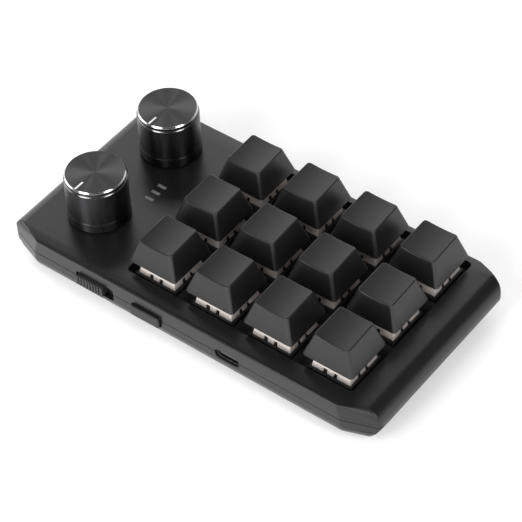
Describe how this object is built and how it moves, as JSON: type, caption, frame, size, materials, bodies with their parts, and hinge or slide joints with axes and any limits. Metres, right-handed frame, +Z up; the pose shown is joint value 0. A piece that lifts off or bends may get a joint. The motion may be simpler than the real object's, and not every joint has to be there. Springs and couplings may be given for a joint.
{
  "type": "macro keypad",
  "caption": "Low black desk keypad with a grid of blank sculpted keys, two turning push dials, a slide switch and a button in its side.",
  "frame": {"origin": "middle of the case in plan, on the plane that the rubber feet stand on", "axes": "+X from the dial end to the key end, +Y from the side with the switch, the button and the USB-C port to the plain side, +Z up"},
  "size_m": [0.142, 0.0742, 0.033],
  "materials": {
    "case_black": "satin",
    "keycap_black": "matte",
    "knob_anodised": "satin",
    "clear_plastic": "gloss",
    "stem_brown": "satin",
    "black_nylon": "matte",
    "white_plastic": "satin",
    "spring_steel": "satin",
    "contact_metal": "satin",
    "steel": "satin",
    "aluminium_bare": "satin",
    "screw_black": "satin",
    "board": "satin",
    "chip": "matte",
    "battery_pouch": "satin",
    "foam_tape": "matte",
    "rubber_black": "matte"
  },
  "bodies": {
    "case": {"top_case": "case_black", "bottom_case": "case_black", "main_pcb": "board", "board_components": "chip", "usb_c_receptacle": "steel", "slide_switch_frame": "steel", "side_button_switch": "black_nylon", "light_pipe": "white_plastic", "battery": "battery_pouch", "battery_tape": "foam_tape", "encoder_bases": "black_nylon", "encoder_frames": "steel", "encoder_domes": "steel", "rubber_feet": "rubber_black", "case_screws": "screw_black", "switch_bases": "black_nylon", "switch_tops": "clear_plastic", "switch_contacts": "contact_metal", "switch_springs": "spring_steel"},
    "key_01": {"keycap_01": "keycap_black", "switch_stem_01": "stem_brown"},
    "key_02": {"keycap_02": "keycap_black", "switch_stem_02": "stem_brown"},
    "key_03": {"keycap_03": "keycap_black", "switch_stem_03": "stem_brown"},
    "key_04": {"keycap_04": "keycap_black", "switch_stem_04": "stem_brown"},
    "key_05": {"keycap_05": "keycap_black", "switch_stem_05": "stem_brown"},
    "key_06": {"keycap_06": "keycap_black", "switch_stem_06": "stem_brown"},
    "key_07": {"keycap_07": "keycap_black", "switch_stem_07": "stem_brown"},
    "key_08": {"keycap_08": "keycap_black", "switch_stem_08": "stem_brown"},
    "key_09": {"keycap_09": "keycap_black", "switch_stem_09": "stem_brown"},
    "key_10": {"keycap_10": "keycap_black", "switch_stem_10": "stem_brown"},
    "key_11": {"keycap_11": "keycap_black", "switch_stem_11": "stem_brown"},
    "key_12": {"keycap_12": "keycap_black", "switch_stem_12": "stem_brown"},
    "dial_1_rotor": {"encoder_rotor_1": "white_plastic"},
    "dial_1": {"encoder_shaft_1": "aluminium_bare", "knob_core_1": "black_nylon", "knob_1": "knob_anodised"},
    "dial_2_rotor": {"encoder_rotor_2": "white_plastic"},
    "dial_2": {"encoder_shaft_2": "aluminium_bare", "knob_core_2": "black_nylon", "knob_2": "knob_anodised"},
    "slide_cap": {"slide_switch_cap": "case_black", "slide_switch_actuator": "black_nylon"},
    "side_button": {"side_button_cap": "case_black", "side_button_plunger": "white_plastic"}
  },
  "joints": [
    {"name": "key_01_press", "type": "slide", "parent": "case", "child": "key_01", "axis": [0, 0, -1], "range_m": [0, 0.004], "stiffness_N_per_m": 80, "springref_m": -0.004, "deforming": ["switch_springs"]},
    {"name": "key_02_press", "type": "slide", "parent": "case", "child": "key_02", "axis": [0, 0, -1], "range_m": [0, 0.004], "stiffness_N_per_m": 80, "springref_m": -0.004, "deforming": ["switch_springs"]},
    {"name": "key_03_press", "type": "slide", "parent": "case", "child": "key_03", "axis": [0, 0, -1], "range_m": [0, 0.004], "stiffness_N_per_m": 80, "springref_m": -0.004, "deforming": ["switch_springs"]},
    {"name": "key_04_press", "type": "slide", "parent": "case", "child": "key_04", "axis": [0, 0, -1], "range_m": [0, 0.004], "stiffness_N_per_m": 80, "springref_m": -0.004, "deforming": ["switch_springs"]},
    {"name": "key_05_press", "type": "slide", "parent": "case", "child": "key_05", "axis": [0, 0, -1], "range_m": [0, 0.004], "stiffness_N_per_m": 80, "springref_m": -0.004, "deforming": ["switch_springs"]},
    {"name": "key_06_press", "type": "slide", "parent": "case", "child": "key_06", "axis": [0, 0, -1], "range_m": [0, 0.004], "stiffness_N_per_m": 80, "springref_m": -0.004, "deforming": ["switch_springs"]},
    {"name": "key_07_press", "type": "slide", "parent": "case", "child": "key_07", "axis": [0, 0, -1], "range_m": [0, 0.004], "stiffness_N_per_m": 80, "springref_m": -0.004, "deforming": ["switch_springs"]},
    {"name": "key_08_press", "type": "slide", "parent": "case", "child": "key_08", "axis": [0, 0, -1], "range_m": [0, 0.004], "stiffness_N_per_m": 80, "springref_m": -0.004, "deforming": ["switch_springs"]},
    {"name": "key_09_press", "type": "slide", "parent": "case", "child": "key_09", "axis": [0, 0, -1], "range_m": [0, 0.004], "stiffness_N_per_m": 80, "springref_m": -0.004, "deforming": ["switch_springs"]},
    {"name": "key_10_press", "type": "slide", "parent": "case", "child": "key_10", "axis": [0, 0, -1], "range_m": [0, 0.004], "stiffness_N_per_m": 80, "springref_m": -0.004, "deforming": ["switch_springs"]},
    {"name": "key_11_press", "type": "slide", "parent": "case", "child": "key_11", "axis": [0, 0, -1], "range_m": [0, 0.004], "stiffness_N_per_m": 80, "springref_m": -0.004, "deforming": ["switch_springs"]},
    {"name": "key_12_press", "type": "slide", "parent": "case", "child": "key_12", "axis": [0, 0, -1], "range_m": [0, 0.004], "stiffness_N_per_m": 80, "springref_m": -0.004, "deforming": ["switch_springs"]},
    {"name": "dial_1_turn", "type": "hinge", "parent": "case", "child": "dial_1_rotor", "pos_m": [-0.0495, -0.0154, 0.011], "axis": [0, 0, 1], "continuous": true},
    {"name": "dial_1_push", "type": "slide", "parent": "dial_1_rotor", "child": "dial_1", "axis": [0, 0, -1], "range_m": [0, 0.0005], "stiffness_N_per_m": 1500, "springref_m": -0.001},
    {"name": "dial_2_turn", "type": "hinge", "parent": "case", "child": "dial_2_rotor", "pos_m": [-0.0495, 0.0207, 0.011], "axis": [0, 0, 1], "continuous": true},
    {"name": "dial_2_push", "type": "slide", "parent": "dial_2_rotor", "child": "dial_2", "axis": [0, 0, -1], "range_m": [0, 0.0005], "stiffness_N_per_m": 1500, "springref_m": -0.001},
    {"name": "power_slide", "type": "slide", "parent": "case", "child": "slide_cap", "axis": [1, 0, 0], "range_m": [0, 0.003]},
    {"name": "side_button_press", "type": "slide", "parent": "case", "child": "side_button", "axis": [0, 1, 0], "range_m": [0, 0.0003], "stiffness_N_per_m": 1000, "springref_m": -0.0006}
  ]
}
